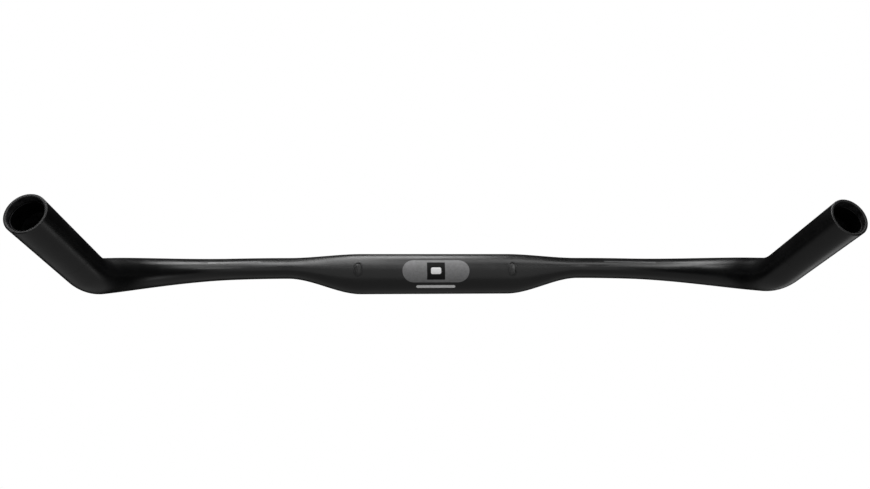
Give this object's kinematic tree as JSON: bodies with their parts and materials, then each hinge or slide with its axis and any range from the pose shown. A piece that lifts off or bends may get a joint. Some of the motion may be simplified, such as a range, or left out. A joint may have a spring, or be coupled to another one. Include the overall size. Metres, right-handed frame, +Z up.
{
  "type": "aero bullhorn bicycle handlebar",
  "caption": "Black bullhorn handlebar with a round clamp zone, flattened wings swept forward and open round horns that rise.",
  "frame": {"origin": "centre of the round clamp zone, on its axis, midway between the two wings", "axes": "+X along the clamp axis towards the rider's left, -Y forwards along the horns, +Z up"},
  "size_m": [0.4608, 0.1892, 0.0627],
  "materials": {
    "satin_black": "satin black lacquer over moulded carbon fibre",
    "raw_carbon": "unpainted carbon laminate with a dull resin skin",
    "alloy": "black anodised, turned",
    "liner_plastic": "dull extruded plastic",
    "port_plastic": "moulded, fine texture",
    "rubber": "matt moulded rubber",
    "foil_grey": "grey foil under lacquer",
    "foil_black": "black foil under lacquer",
    "foil_white": "white foil under lacquer",
    "foil_dark": "dark grey foil under lacquer"
  },
  "bodies": {
    "bar": {"centre_section": "satin_black", "clamp_sleeve": "raw_carbon", "left_wing_arm": "satin_black", "right_wing_arm": "satin_black", "left_root_ferrule": "raw_carbon", "right_root_ferrule": "raw_carbon", "left_horn_tube": "satin_black", "right_horn_tube": "satin_black", "left_horn_ferrule": "raw_carbon", "right_horn_ferrule": "raw_carbon", "left_mouth_ring": "alloy", "right_mouth_ring": "alloy", "left_cable_liner": "liner_plastic", "right_cable_liner": "liner_plastic", "left_port_frame": "port_plastic", "right_port_frame": "port_plastic", "badge_panel": "foil_grey", "badge_tile": "foil_black", "badge_bar": "foil_white", "badge_underline": "foil_white", "left_wing_stripe": "foil_dark", "right_wing_stripe": "foil_dark"},
    "left_plug": {"left_port_plug": "rubber"},
    "right_plug": {"right_port_plug": "rubber"}
  },
  "joints": [
    {"name": "left_plug_pull", "type": "slide", "parent": "bar", "child": "left_plug", "axis": [0, -0.9563, 0.2924], "range_m": [0, 0.012]},
    {"name": "right_plug_pull", "type": "slide", "parent": "bar", "child": "right_plug", "axis": [0, -0.9563, 0.2924], "range_m": [0, 0.012]}
  ]
}
